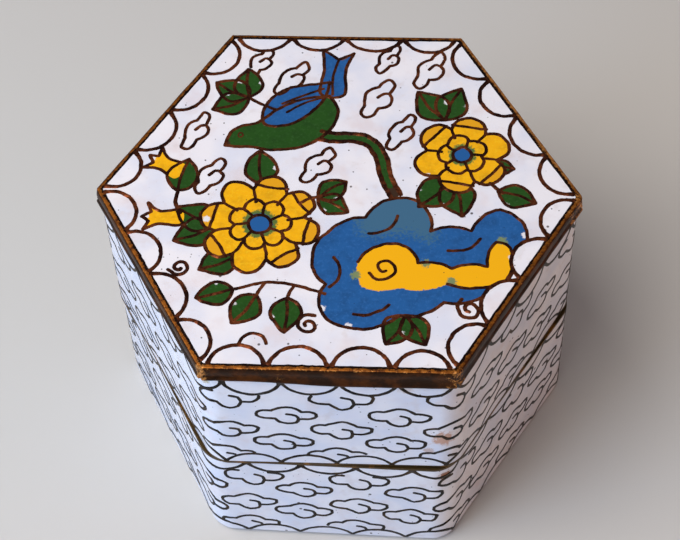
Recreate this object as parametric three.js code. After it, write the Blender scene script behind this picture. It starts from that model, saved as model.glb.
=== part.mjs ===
// A six-sided enamelled box with a lift-off lid. A lower cup and a lid of almost the same plan meet
// at two thin brass mouth rings; the lower ring has an upstand that keeps the lid in place. A heavier
// brass rim frames the lid's flat top. The box stands on the flat underside of the cup.
//
// Millimetres, +Z up. The origin is the middle of the underside, and +X runs through a corner of the
// cup, so the cup's front and back walls face -Y and +Y. The lid sits slightly turned, as set down.

import * as THREE from 'three';
import { mergeVertices } from 'three/addons/utils/BufferGeometryUtils.js';

// Driving dimensions.
const acrossFlats = 59;           // over the enamelled walls, flat to flat
const totalHeight = 46;           // underside to the lid's flat top
const seamHeight = 21.5;          // where the lid parts from the cup
const lidTurn = 1.6;              // degrees that the lid is turned about +Z on the cup

const wallThickness = 1.5;        // copper with enamel on both sides
const wallCornerRadius = 4;       // the upright edges of cup and lid
const footRadius = 1.3;           // round along the cup's bottom edge
const insideRadius = 1.2;         // round where a wall runs into the floor or the top, inside

const rimHeight = 2.75;           // the brass angle that frames the lid's top
const rimStripWidth = 0.85;       // its flat upper face, level with the enamel
const rimStripThickness = 0.8;
const rimBandThickness = 0.35;    // its upright leg, outside the lid's wall
const rimCrestRadius = 0.2;       // along its outer upper edge
const rimBulge = 0.12;            // how far the band swells between its edges
const rimLip = 0.3;               // how far the lip along its lower edge stands proud
const rimLipHeight = 0.7;
const rimCornerRadius = 1;        // its crisp outer corners
const rimInnerCornerRadius = 0.3;

const ringThickness = 0.35;       // each brass mouth ring, upright
const upstandHeight = 3;          // locating upstand above the lower ring
const upstandThickness = 0.8;
const upstandClearance = 0.75;    // from the upstand to the lid's wall, so that the lid can turn a little
const upstandLead = 0.3;          // chamfer along its upper edge

const seamGap = 0.2;              // between the two mouth rings
const fitGap = 0.3;               // between any other two pieces
const cornerSteps = 8;            // facets round each corner
const roundSteps = 4;             // facets round each small radius

// Sizes that follow from them. An apothem is the distance from the axis to a flat side.
const wallApothem = acrossFlats / 2;
const insideApothem = wallApothem - wallThickness;
const rimInnerApothem = wallApothem - rimStripWidth;
const rimLegApothem = wallApothem - rimBandThickness;
const rimBottom = totalHeight - rimHeight;
const lowerRingTop = seamHeight - seamGap / 2;
const lowerRingBottom = lowerRingTop - ringThickness;
const upperRingBottom = seamHeight + seamGap / 2;
const upperRingTop = upperRingBottom + ringThickness;
const upstandApothem = insideApothem - upstandClearance;

// One closed loop of points round the six-sided plan, with a rounded corner on +X.
function hexagonLoop(apothem, cornerRadius, height) {
	const points = [];
	const centreDistance = (apothem - cornerRadius) / Math.cos(Math.PI / 6);
	for (let corner = 0; corner < 6; corner++) {
		const facing = corner * Math.PI / 3;
		const centre = new THREE.Vector3(
			centreDistance * Math.cos(facing), centreDistance * Math.sin(facing), height);
		for (let step = 0; step <= cornerSteps; step++) {
			const angle = facing + (step / cornerSteps - 0.5) * Math.PI / 3;
			const arm = new THREE.Vector3(Math.cos(angle), Math.sin(angle), 0);
			points.push(arm.multiplyScalar(cornerRadius).add(centre));
		}
	}
	return points;
}

// Sweeps a profile round the plan. Each profile point is (apothem, height); cornerRadius(apothem) gives
// the loop's corner. An open profile starts and ends on the axis; a closed one makes a ring. The profile
// runs with the material on its left.
function sweepRound(profile, cornerRadius, closed) {
	const loops = profile.map((point) => hexagonLoop(point.x, cornerRadius(point.x), point.y));
	const count = loops[0].length;
	const vertices = loops.flat();
	const faces = [];
	const joins = closed ? loops.length : loops.length - 1;
	for (let row = 0; row < joins; row++) {
		const next = (row + 1) % loops.length;
		for (let side = 0; side < count; side++) {
			const after = (side + 1) % count;
			const a = row * count + side;
			const b = row * count + after;
			const c = next * count + after;
			const d = next * count + side;
			faces.push(a, b, c, a, c, d);
		}
	}
	if (!closed) {
		const firstCentre = vertices.push(new THREE.Vector3(0, 0, profile[0].y)) - 1;
		const lastCentre = vertices.push(new THREE.Vector3(0, 0, profile.at(-1).y)) - 1;
		const lastRow = (loops.length - 1) * count;
		for (let side = 0; side < count; side++) {
			const after = (side + 1) % count;
			faces.push(firstCentre, after, side);
			faces.push(lastCentre, lastRow + side, lastRow + after);
		}
	}
	const geometry = new THREE.BufferGeometry().setFromPoints(vertices);
	geometry.setIndex(faces);
	const merged = mergeVertices(geometry);
	merged.computeVertexNormals();
	return merged;
}

// Corner radii that stay parallel to the outer wall, down to a smallest one inside.
function parallelCorners(outerApothem, outerRadius, smallest) {
	return (apothem) => Math.max(smallest, outerRadius - (outerApothem - apothem));
}

const wallCorners = parallelCorners(wallApothem, wallCornerRadius, 0.5);

// The points of a quarter round about (centreX, centreY), from one angle to another in degrees.
function quarterRound(path, centreX, centreY, radius, from, to) {
	path.absarc(centreX, centreY, radius, from * Math.PI / 180, to * Math.PI / 180, to < from);
}

function profilePoints(path) {
	return path.getPoints(roundSteps).filter((point, index, all) =>
		index === 0 || point.distanceTo(all[index - 1]) > 1e-6);
}

// The cup: flat underside, rounded bottom edge, upright wall, open mouth and flat floor inside.
function cupGeometry() {
	const wallTop = lowerRingBottom - fitGap;
	const path = new THREE.Path();
	path.moveTo(wallApothem - footRadius, 0);
	quarterRound(path, wallApothem - footRadius, footRadius, footRadius, -90, 0);
	path.lineTo(wallApothem, wallTop);
	path.lineTo(insideApothem, wallTop);
	quarterRound(path, insideApothem - insideRadius, wallThickness + insideRadius, insideRadius, 0, -90);
	return sweepRound(profilePoints(path), wallCorners, false);
}

// The lid: upright wall, a stepped rebate that carries the brass rim, flat top and flat ceiling.
function lidGeometry() {
	const wallBottom = upperRingTop + fitGap;
	const shoulder = rimBottom - fitGap;
	const legSeat = rimLegApothem - fitGap;
	const stripSeat = rimInnerApothem - fitGap;
	const stepHeight = totalHeight - rimStripThickness - fitGap;
	const ceiling = totalHeight - wallThickness;
	const path = new THREE.Path();
	path.moveTo(insideApothem - insideRadius, ceiling);
	quarterRound(path, insideApothem - insideRadius, ceiling - insideRadius, insideRadius, 90, 0);
	path.lineTo(insideApothem, wallBottom);
	path.lineTo(wallApothem, wallBottom);
	path.lineTo(wallApothem, shoulder);
	path.lineTo(legSeat, shoulder);
	path.lineTo(legSeat, stepHeight);
	path.lineTo(stripSeat, stepHeight);
	path.lineTo(stripSeat, totalHeight);
	const seats = [legSeat, stripSeat];
	const corners = (apothem) => seats.some((seat) => Math.abs(seat - apothem) < 1e-6)
		? rimInnerCornerRadius : wallCorners(apothem);
	return sweepRound(profilePoints(path), corners, false);
}

// The brass rim, an angle: a flat strip level with the top, and an upright band that swells a little
// and ends in a lip.
function rimGeometry() {
	const lipMiddle = rimBottom + rimLipHeight / 2;
	const lipTop = rimBottom + rimLipHeight;
	const stripBottom = totalHeight - rimStripThickness;
	const bandMiddle = (lipTop + totalHeight) / 2;
	const path = new THREE.Path();
	path.moveTo(rimLegApothem, rimBottom);
	path.lineTo(wallApothem + rimLip / 2, rimBottom);
	path.lineTo(wallApothem + rimLip, lipMiddle);
	path.lineTo(wallApothem + rimLip / 2, lipTop);
	path.lineTo(wallApothem + rimBulge, bandMiddle);
	quarterRound(path, wallApothem - rimCrestRadius, totalHeight - rimCrestRadius, rimCrestRadius, 0, 90);
	path.lineTo(rimInnerApothem, totalHeight);
	path.lineTo(rimInnerApothem, stripBottom);
	path.lineTo(rimLegApothem, stripBottom);
	const corners = parallelCorners(wallApothem, rimCornerRadius, rimInnerCornerRadius);
	return sweepRound(profilePoints(path), corners, true);
}

// The lower mouth ring: a thin ledge over the cup's wall, with the upstand along its inner edge.
function lowerRingGeometry() {
	const upstandTop = lowerRingTop + upstandHeight;
	const upstandInside = upstandApothem - upstandThickness;
	const path = new THREE.Path();
	path.moveTo(upstandInside, lowerRingBottom);
	path.lineTo(wallApothem, lowerRingBottom);
	path.lineTo(wallApothem, lowerRingTop);
	path.lineTo(upstandApothem, lowerRingTop);
	path.lineTo(upstandApothem, upstandTop - upstandLead);
	path.lineTo(upstandApothem - upstandLead, upstandTop);
	path.lineTo(upstandInside, upstandTop);
	return sweepRound(profilePoints(path), wallCorners, true);
}

// The upper mouth ring: a flat edge under the lid's wall.
function upperRingGeometry() {
	const path = new THREE.Path();
	path.moveTo(insideApothem, upperRingBottom);
	path.lineTo(wallApothem, upperRingBottom);
	path.lineTo(wallApothem, upperRingTop);
	path.lineTo(insideApothem, upperRingTop);
	return sweepRound(profilePoints(path), wallCorners, true);
}

function piece(name, geometry, material) {
	const mesh = new THREE.Mesh(geometry, material);
	mesh.name = name;
	return mesh;
}

const enamel = new THREE.MeshStandardMaterial({ color: 0xe9e8f2, roughness: 0.18, metalness: 0 });
const darkBrass = new THREE.MeshStandardMaterial({ color: 0x6e4316, roughness: 0.38, metalness: 1 });
const brass = new THREE.MeshStandardMaterial({ color: 0xa8763a, roughness: 0.35, metalness: 1 });

const lid = new THREE.Group();
lid.add(piece('lid_body', lidGeometry(), enamel));
lid.add(piece('lid_top_rim', rimGeometry(), darkBrass));
lid.add(piece('lid_mouth_ring', upperRingGeometry(), brass));
lid.rotation.z = THREE.MathUtils.degToRad(lidTurn);

const box = new THREE.Group();
box.add(piece('base_body', cupGeometry(), enamel));
box.add(piece('base_mouth_ring', lowerRingGeometry(), brass));
box.add(lid);

export default box;
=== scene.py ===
"""The looks of a six-sided cloisonne enamel box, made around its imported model.

Laid out as an add-on and run as a script. Lengths are millimetres unless a name says otherwise, and MM
turns them into Blender's metres. Drawings are made flat, in millimetres, and then laid on the box.
"""

import math
import random

import bmesh
import bpy
import numpy as np
from bpy.props import FloatProperty, FloatVectorProperty, PointerProperty
from mathutils import Matrix, Vector, noise
from mathutils.geometry import delaunay_2d_cdt


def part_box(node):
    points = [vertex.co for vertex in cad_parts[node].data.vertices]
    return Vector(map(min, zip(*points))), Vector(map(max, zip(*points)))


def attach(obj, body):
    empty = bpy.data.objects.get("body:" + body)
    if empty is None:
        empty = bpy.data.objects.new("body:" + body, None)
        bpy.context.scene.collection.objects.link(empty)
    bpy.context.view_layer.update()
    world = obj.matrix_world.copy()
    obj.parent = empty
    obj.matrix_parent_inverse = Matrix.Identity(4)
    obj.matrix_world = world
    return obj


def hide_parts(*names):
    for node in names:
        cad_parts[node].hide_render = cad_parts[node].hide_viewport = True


bl_info = {
    "name": "Cloisonne Enamel Box",
    "version": (1, 0, 0),
    "blender": (4, 5, 0),
    "location": "View3D > Sidebar > Enamel Box",
    "description": "Builds the enamel, wires and brass of a six-sided cloisonne box on its frame",
    "category": "Add Mesh",
}

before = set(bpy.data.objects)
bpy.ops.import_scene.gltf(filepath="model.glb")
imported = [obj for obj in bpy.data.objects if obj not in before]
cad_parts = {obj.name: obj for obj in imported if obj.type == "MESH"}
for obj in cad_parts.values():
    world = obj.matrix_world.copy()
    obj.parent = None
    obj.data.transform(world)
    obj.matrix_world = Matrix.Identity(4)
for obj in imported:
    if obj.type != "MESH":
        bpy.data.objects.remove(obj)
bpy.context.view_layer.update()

MM = 0.001
SIDES = 6
BACK = 3                                  # of the six sides, counted round from the front
HALF_SIDE = math.tan(math.pi / SIDES)     # half a side's length for an apothem of one
TO_CORNER = 1 / math.cos(math.pi / SIDES)  # the corner's distance for an apothem of one
HAIR = 0.02                               # left between two pieces that touch on the real box

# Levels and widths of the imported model.
WALL_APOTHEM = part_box("base_body")[1].y / MM
LEDGE_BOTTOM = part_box("base_mouth_ring")[0].z / MM
LID_RING_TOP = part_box("lid_mouth_ring")[1].z / MM
UPSTAND_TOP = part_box("base_mouth_ring")[1].z / MM
SEAM = LEDGE_BOTTOM + 0.45                # where the lid parts from the cup
RING_PROUD = 0.06                         # how far the mouth rings stand out of the walls
RIM_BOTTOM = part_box("lid_top_rim")[0].z / MM
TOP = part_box("lid_body")[1].z / MM


def linear(hex_colour):
    """The linear red, green and blue of an sRGB colour written as #RRGGBB."""
    channels = [int(hex_colour[i:i + 2], 16) / 255 for i in (1, 3, 5)]
    return tuple(c / 12.92 if c <= 0.04045 else ((c + 0.055) / 1.055) ** 2.4 for c in channels)


def length(name, description, default):
    return FloatProperty(name=name, description=description, default=default * MM, unit="LENGTH")


def colour(name, description, default):
    return FloatVectorProperty(
        name=name, description=description, default=linear(default), subtype="COLOR", min=0, max=1)


# ---------------------------------------------------------------- what a user would change

class BOX_PG_sizes(bpy.types.PropertyGroup):
    """Sizes of the shell, the rim and the wires."""

    lid_turn: FloatProperty(
        name="Lid turn", description="How far the lid is turned on the cup",
        default=math.radians(1.6), subtype="ANGLE")
    wall: length("Wall", "Thickness of copper with enamel on both sides", 1.5)
    wall_corner: length("Wall corner", "Radius of the upright edges", 4)
    foot: length("Foot", "Round along the cup's bottom edge", 1.3)
    inside_round: length("Inside round", "Round where a wall meets the floor or the top", 1.2)
    play: length("Play", "Between the upstand and the lid's wall", 0.75)
    upstand_wall: length("Upstand", "Thickness of the upstand inside the lid", 0.8)
    strip_width: length("Strip", "Width of the rim's flat upper face", 0.85)
    strip_thickness: length("Strip thickness", "Thickness of the rim's upper face", 0.8)
    band_thickness: length("Band", "Thickness of the rim's upright band", 0.35)
    crest: length("Crest", "Round along the rim's outer upper edge", 0.25)
    lip: length("Lip", "How far the lip of the band stands proud", 0.28)
    lip_height: length("Lip height", "Height of the lip of the band", 0.7)
    rim_corner: length("Rim corner", "Radius of the rim's outer corners", 1)
    wire: length("Lid wire", "Width of the wires in the lid's picture", 0.58)
    wall_wire: length("Wall wire", "Width of the wires round the walls", 0.56)
    proud: length("Proud", "How far the wires stand above the enamel", 0.035)


class BOX_PG_colours(bpy.types.PropertyGroup):
    """Colours of the enamels and the brass."""

    white: colour("White", "Ground of the lid and the walls", "#F1ECEF")
    green: colour("Green", "Leaves and the bird's body", "#1E4A0A")
    blue: colour("Blue", "Rock, wing and tail", "#1F5A97")
    grey_blue: colour("Grey blue", "Where the blue is thin", "#3E6885")
    yellow: colour("Yellow", "Petals and the rock's hollow", "#FAB400")
    ochre: colour("Ochre", "Turned edges of the petals", "#E6A210")
    turquoise: colour("Turquoise", "Inside and underneath", "#4FB0BF")
    wire_brown: colour("Wire brown", "Darkened brass wire", "#33150B")
    # copper patches of the lid's wire: partly rubbed metal, partly painted highlight
    wire_copper: colour("Wire copper", "Rubbed parts of the wire", "#984F28")
    # painted shade: the walls' wire is a darker copy of the lid's wire, as the walls catch less light
    wall_wire: colour("Wall wire", "Wire on the walls, darker", "#1C1510")
    rim_brown: colour("Rim brown", "Darkened brass of the rim", "#2E1808")
    rim_worn: colour("Rim worn", "Rubbed brass of the rim", "#A5601C")


class BOX_PG_stage(bpy.types.PropertyGroup):
    """The camera, lights and floor."""

    azimuth: FloatProperty(
        name="Azimuth", description="Camera's turn about the box, from its front",
        default=math.radians(6.256), subtype="ANGLE")
    elevation: FloatProperty(
        name="Elevation", description="Camera's height above the horizon",
        default=math.radians(54.356), subtype="ANGLE")
    roll: FloatProperty(
        name="Roll", description="Camera's turn about its own axis",
        default=math.radians(-2.681), subtype="ANGLE")
    distance: length("Distance", "From the middle of the lid to the camera", 269.41)
    slide_right: length("Slide right", "Camera's slide to its right", 0.282)
    slide_down: length("Slide down", "Camera's slide downwards", 10.749)
    lens: FloatProperty(
        name="Lens", description="Focal length in millimetres on a 36 mm wide sensor",
        default=102.18)
    key: FloatProperty(name="Key", description="Power of the large soft light", default=2.2)
    window: FloatProperty(name="Window", description="Power of the low cool light", default=2.2)
    fill: FloatProperty(name="Fill", description="Power of the low warm light", default=0.3)
    sky: FloatProperty(name="Sky", description="Strength of the light from all round", default=0.22)
    floor: colour("Floor", "Plain pale floor", "#CFCBC4")


# ---------------------------------------------------------------- nodes

def add(tree, kind, inputs=None, out=0, **settings):
    """A node with its settings, its inputs set to values or linked to sockets. Gives one output."""
    node = tree.nodes.new(kind)
    for name, value in settings.items():
        setattr(node, name, value)
    for socket, value in (inputs or {}).items():
        if isinstance(value, bpy.types.NodeSocket):
            tree.links.new(value, node.inputs[socket])
        else:
            node.inputs[socket].default_value = value
    return node.outputs[out] if node.outputs else None


def rgba(value):
    return (*value, 1)


def new_material(name):
    """A material with only a shader and an output: its tree, the shader and Object coordinates."""
    material = bpy.data.materials.new(name)
    material.use_nodes = True
    tree = material.node_tree
    tree.nodes.clear()
    surface = add(tree, "ShaderNodeBsdfPrincipled")
    add(tree, "ShaderNodeOutputMaterial", {"Surface": surface})
    place = add(tree, "ShaderNodeTexCoord", out="Object")
    return material, tree, surface.node, place


def blotches(tree, place, size_mm, bare, full, most=1.0, detail=3.0, roughness=0.5):
    """Nought to most in uneven blotches about size_mm across, where soft noise rises from bare to
    full."""
    cloudy = add(tree, "ShaderNodeTexNoise", {
        "Vector": place, "Scale": 1 / (size_mm * MM), "Detail": detail, "Roughness": roughness})
    return add(tree, "ShaderNodeMapRange", {
        "Value": cloudy, "From Min": bare, "From Max": full, "To Max": most}, interpolation_type="SMOOTHSTEP")


def stained(tree, shown, stain, place, size_mm, bare, full, most=1.0, detail=3.0, roughness=0.5):
    """The colour shown so far with blotches of a stain over it."""
    share = blotches(tree, place, size_mm, bare, full, most, detail, roughness)
    return add(tree, "ShaderNodeMix", {0: share, 6: shown, 7: rgba(stain)}, out=2, data_type="RGBA")


def pits(tree, place, spacing_mm, share, radius_mm, most=1.0):
    """Up to most where a small round pit is, nought elsewhere. Only a share of the cells has one."""
    cells = add(tree, "ShaderNodeTexVoronoi", {"Vector": place, "Scale": 1 / (spacing_mm * MM)})
    chance = add(tree, "ShaderNodeSeparateColor", {"Color": cells.node.outputs["Color"]}).node.outputs
    chosen = add(tree, "ShaderNodeMath", {0: chance["Red"], 1: 1 - share}, operation="GREATER_THAN")
    radius = radius_mm / spacing_mm
    size = add(tree, "ShaderNodeMapRange", {
        "Value": chance["Green"], "To Min": 0.4 * radius, "To Max": radius})
    reach = add(tree, "ShaderNodeMath", {0: size, 1: chosen}, operation="MULTIPLY")
    depth = add(tree, "ShaderNodeMath", {0: reach, 1: cells}, operation="SUBTRACT")
    return add(tree, "ShaderNodeMapRange", {
        "Value": depth, "From Max": 0.3 * radius, "To Max": most}, interpolation_type="SMOOTHSTEP")


def pitted(tree, shown, dark, place, spacing_mm, share, radius_mm, most=0.85):
    """The colour shown so far with small pits in it, and how deep they are."""
    depth = pits(tree, place, spacing_mm, share, radius_mm, most)
    return add(tree, "ShaderNodeMix", {0: depth, 6: shown, 7: rgba(dark)}, out=2, data_type="RGBA"), depth


def spotted(tree, shown, stain, place, centre_mm, radius_mm, most=0.85):
    """The colour shown so far with one ragged spot of a stain."""
    away = add(tree, "ShaderNodeVectorMath", {0: place, 1: Vector(centre_mm) * MM},
               out="Value", operation="DISTANCE")
    near = add(tree, "ShaderNodeMapRange", {
        "Value": away, "From Max": 2 * radius_mm * MM, "To Min": 1, "To Max": 0})
    ragged = blotches(tree, place, 0.5 * radius_mm, 0.2, 0.8, 0.5, 5, 0.7)
    both = add(tree, "ShaderNodeMath", {0: near, 1: ragged}, operation="ADD")
    share = add(tree, "ShaderNodeMapRange", {
        "Value": both, "From Min": 0.68, "From Max": 0.98, "To Max": most}, interpolation_type="SMOOTHSTEP")
    return add(tree, "ShaderNodeMix", {0: share, 6: shown, 7: rgba(stain)}, out=2, data_type="RGBA")


def surface_relief(tree, shader, height, strength, depth_mm):
    """Bends the shader's normal by a height."""
    normal = add(tree, "ShaderNodeBump", {
        "Height": height, "Strength": strength, "Distance": depth_mm * MM})
    tree.links.new(normal, shader.inputs["Normal"])


def uneven(tree, shader, place, size_mm, strength, depth_mm, detail=2.0):
    """Soft unevenness of the surface, in waves about size_mm across."""
    height = blotches(tree, place, size_mm, 0, 1, detail=detail)
    surface_relief(tree, shader, height, strength, depth_mm)


def glass_surface(tree, shader, shown, roughness):
    """Sets the shader for vitreous enamel: soda and lead glass of the given roughness."""
    tree.links.new(shown, shader.inputs["Base Color"])
    shader.inputs["Roughness"].default_value = roughness
    shader.inputs["IOR"].default_value = 1.52


# ---------------------------------------------------------------- materials

WALL_STAINS = (
    # centre, radius, colour and strength
    ((16.2, -29.2, 29.2), 1.9, "#C98E6A", 0.85),
    ((14.2, -29.5, 26), 1, "#B98A6C", 0.6),
    ((-15.9, -29.4, 42.4), 0.9, "#C7B48C", 0.85),
    ((16.6, -29, 19.3), 1.1, "#8E5026", 0.95),
    ((11, -29.5, 42.2), 1.2, "#C9A98E", 0.5),
)


def white_enamel(colours):
    """Opaque white vitreous enamel on copper, fired and ground level with the wires: glassy and faintly
    uneven, milky blue where thick, with warm blotches that are partly aged tone and partly a painted warm
    reflection, warm stains, dark gas pits and specks of green that strayed from the leaves."""
    material, tree, shader, place = new_material("white_enamel")
    shown = stained(tree, rgba(colours.white), linear("#DFE0EC"), place, 7, 0.35, 0.7)
    # warm blotches: partly aged tone, partly a painted warm reflection
    shown = stained(tree, shown, linear("#E4D3D2"), place, 5, 0.5, 0.75, 0.6, 4)
    shown = stained(tree, shown, linear("#DCCFCC"), place, 2.2, 0.55, 0.78, 0.5, 4)
    shown = stained(tree, shown, linear("#B9AFA6"), place, 0.6, 0.62, 0.76, 0.45, 5, 0.7)
    for centre, radius, stain, most in WALL_STAINS:
        shown = spotted(tree, shown, linear(stain), place, centre, radius, most)
    shown, _ = pitted(tree, shown, linear("#5F7A52"), place, 2.3, 0.16, 0.2, 0.6)
    shown, small = pitted(tree, shown, linear("#4A4744"), place, 1, 0.34, 0.17)
    shown, large = pitted(tree, shown, linear("#3A2C26"), place, 2.1, 0.3, 0.28)
    holes = add(tree, "ShaderNodeMath", {0: small, 1: large}, operation="MAXIMUM")
    waves = blotches(tree, place, 5, 0, 1, detail=1)
    relief = add(tree, "ShaderNodeMath", {0: holes, 1: -0.6, 2: waves}, operation="MULTIPLY_ADD")
    surface_relief(tree, shader, relief, 0.25, 0.08)
    glass_surface(tree, shader, shown, 0.17)
    return material


def coloured_enamel(name, base, tints):
    """Vitreous enamel melted between the wires. Each tint is an attribute painted on the piece, and
    shows where the enamel next to it has run in or where the ground shows through. Uneven firing
    leaves cloudy patches and gas pits."""
    material, tree, shader, place = new_material(name)
    darker = tuple(c * 0.6 for c in base)
    lighter = tuple(min(1, c * 1.35 + 0.015) for c in base)
    shown = stained(tree, rgba(base), darker, place, 1.6, 0.4, 0.75, 0.55)
    shown = stained(tree, shown, lighter, place, 0.5, 0.48, 0.72, 0.6, 4, 0.7)
    for attribute, tint in tints.items():
        share = add(tree, "ShaderNodeAttribute", attribute_name=attribute, out="Fac")
        ragged = blotches(tree, place, 0.4, 0.2, 0.8, 0.5)
        edge = add(tree, "ShaderNodeMath", {0: share, 1: ragged}, operation="ADD")
        run_in = add(tree, "ShaderNodeMapRange", {
            "Value": edge, "From Min": 0.58, "From Max": 0.98}, interpolation_type="SMOOTHSTEP")
        shown = add(tree, "ShaderNodeMix", {0: run_in, 6: shown, 7: rgba(tint)}, out=2, data_type="RGBA")
    shown, _ = pitted(tree, shown, linear("#1A1A18"), place, 0.9, 0.22, 0.13, 0.8)
    uneven(tree, shader, place, 3, 0.2, 0.08, 1)
    glass_surface(tree, shader, shown, 0.16)
    return material


def turquoise_enamel(colours):
    """Plain counter-enamel, fired once and not ground: glossy and softly dimpled."""
    material, tree, shader, place = new_material("turquoise_enamel")
    shown = stained(tree, rgba(colours.turquoise), linear("#3E9AAC"), place, 4, 0.3, 0.7)
    shown, _ = pitted(tree, shown, linear("#1F3033"), place, 1.8, 0.4, 0.12, 0.8)
    uneven(tree, shader, place, 1.2, 0.4, 0.1)
    glass_surface(tree, shader, shown, 0.2)
    return material


def tarnished_wire(name, dark, rubbed, share):
    """Flat brass wire darkened brown by firing and age, with copper-coloured patches that are partly rubbed
    metal and partly painted highlight, and small specks of painted glint."""
    material, tree, shader, place = new_material(name)
    # copper patches: partly rubbed metal, partly painted highlight
    shown = stained(tree, rgba(dark), rubbed, place, 3, 0.9 - share, 1.2 - share, 0.9, 5, 0.75)
    # small light specks: painted glints
    shown = stained(tree, shown, linear("#C98A52"), place, 0.35, 0.68, 0.76, 0.7, 4, 0.6)
    shown = stained(tree, shown, linear("#150A05"), place, 0.6, 0.6, 0.72, 0.8, 4, 0.6)
    tree.links.new(shown, shader.inputs["Base Color"])
    uneven(tree, shader, place, 0.3, 0.5, 0.05, 3)
    shader.inputs["Metallic"].default_value = 0.85
    shader.inputs["Roughness"].default_value = 0.42
    return material


def rim_brass(colours):
    """Drawn brass angle: a dark brown skin on the band, an orange brown upper face with dark chips along the
    enamel, and bright metal where hands rub the crest and the corners, with painted highlight added along the
    crest of the back right and front sides."""
    material, tree, shader, place = new_material("rim_brass")
    normal = add(tree, "ShaderNodeNewGeometry", out="Normal")
    up = add(tree, "ShaderNodeSeparateXYZ", {"Vector": normal}, out="Z")
    face_up = add(tree, "ShaderNodeMapRange", {"Value": up, "From Min": 0.75, "From Max": 0.95})
    band = stained(tree, rgba(colours.rim_brown), linear("#5C300C"), place, 3, 0.42, 0.7, 1, 5, 0.65)
    face = stained(tree, rgba(colours.rim_worn), linear("#54290F"), place, 0.7, 0.4, 0.66, 1, 5, 0.7)
    shown = add(tree, "ShaderNodeMix", {0: face_up, 6: band, 7: face}, out=2, data_type="RGBA")
    inner = add(tree, "ShaderNodeAttribute", attribute_name="inner", out="Fac")
    bites = blotches(tree, place, 1.4, 0, 1, detail=6, roughness=0.8)
    chips = add(tree, "ShaderNodeMath", {0: inner, 1: bites}, operation="ADD")
    chipped = add(tree, "ShaderNodeMapRange", {"Value": chips, "From Min": 0.92, "From Max": 1})
    shown = add(tree, "ShaderNodeMix", {0: chipped, 6: shown, 7: rgba(linear("#1E0B04"))},
                out=2, data_type="RGBA")
    # bright brass: worn on the crest and corners, plus painted highlight on the crest of the back right and
    # front sides
    rubbed = add(tree, "ShaderNodeAttribute", attribute_name="rubbed", out="Fac")
    scuffs = blotches(tree, place, 0.5, 0.25, 0.75, 0.9, 6, 0.75)
    wear_and_highlight = add(tree, "ShaderNodeMath", {0: rubbed, 1: scuffs}, operation="ADD")
    bright = add(tree, "ShaderNodeMapRange", {"Value": wear_and_highlight, "From Min": 0.85, "From Max": 1.25},
                 interpolation_type="SMOOTHSTEP")
    shown = add(tree, "ShaderNodeMix", {0: bright, 6: shown, 7: rgba(linear("#CF8B45"))},
                out=2, data_type="RGBA")
    tree.links.new(shown, shader.inputs["Base Color"])
    uneven(tree, shader, place, 0.45, 0.4, 0.06, 4)
    gloss = add(tree, "ShaderNodeMapRange", {"Value": bites, "To Min": 0.55, "To Max": 0.4})
    tree.links.new(gloss, shader.inputs["Roughness"])
    # less metallic where bright, so that the painted highlight stays light under the lamps
    metal = add(tree, "ShaderNodeMapRange", {"Value": bright, "To Min": 0.85, "To Max": 0.7})
    tree.links.new(metal, shader.inputs["Metallic"])
    return material


def ring_brass():
    """Thin brass edging, dull olive brown with age."""
    material, tree, shader, place = new_material("ring_brass")
    shown = stained(tree, rgba(linear("#4E3C1F")), linear("#8E6128"), place, 1.6, 0.5, 0.72, 1, 4, 0.6)
    tree.links.new(shown, shader.inputs["Base Color"])
    uneven(tree, shader, place, 0.4, 0.3, 0.05, 3)
    shader.inputs["Metallic"].default_value = 0.8
    shader.inputs["Roughness"].default_value = 0.42
    return material


# ---------------------------------------------------------------- lines and areas of a drawing

STEP = 0.3        # between the points of a line in the lid's picture
WALL_STEP = 0.55  # between the points of a line on the walls, where the same cloud comes often
GRAIN = 0.38      # between the points inside a coloured area
SUNK = 0.05       # how deep the wires' edges lie in the enamel


def along(points, closed, step):
    """A smooth curve through the points, as points about a step apart."""
    count = len(points)
    drawn = []
    for i in range(count if closed else count - 1):
        b = points[i]
        c = points[(i + 1) % count]
        a = points[i - 1] if closed or i > 0 else 2 * b - c
        d = points[(i + 2) % count] if closed or i + 2 < count else 2 * c - b
        steps = max(1, round((c - b).length / step))
        for k in range(steps):
            t = k / steps
            drawn.append(0.5 * (2 * b + (c - a) * t + (2 * a - 5 * b + 4 * c - d) * t * t
                                + (3 * b - a - 3 * c + d) * t ** 3))
    if not closed:
        drawn.append(points[-1])
    return drawn


def line(points, closed=False, step=STEP):
    """A drawn line through given points. A point given twice in a row is a sharp corner."""
    points = [Vector(p) for p in points]
    corners = [i for i in range(1, len(points)) if points[i] == points[i - 1]]
    if closed and not corners:
        return along(points, True, step)
    if closed:
        start = corners[0]
        points = points[start:] + points[:start]
        corners = [i for i in range(1, len(points)) if points[i] == points[i - 1]]
    drawn = []
    edges = [0] + corners + [len(points)]
    for start, end in zip(edges, edges[1:]):
        drawn += along(points[start:end], False, step)[:-1] + [points[end - 1]]
    if closed:
        drawn += along([points[-1], points[0]], False, step)[1:-1] if points[-1] != points[0] else []
    kept = [drawn[0]]
    for point in drawn[1:]:
        if (point - kept[-1]).length > 0.02:
            kept.append(point)
    if closed and (kept[-1] - kept[0]).length <= 0.02:
        kept.pop()
    return kept


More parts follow.
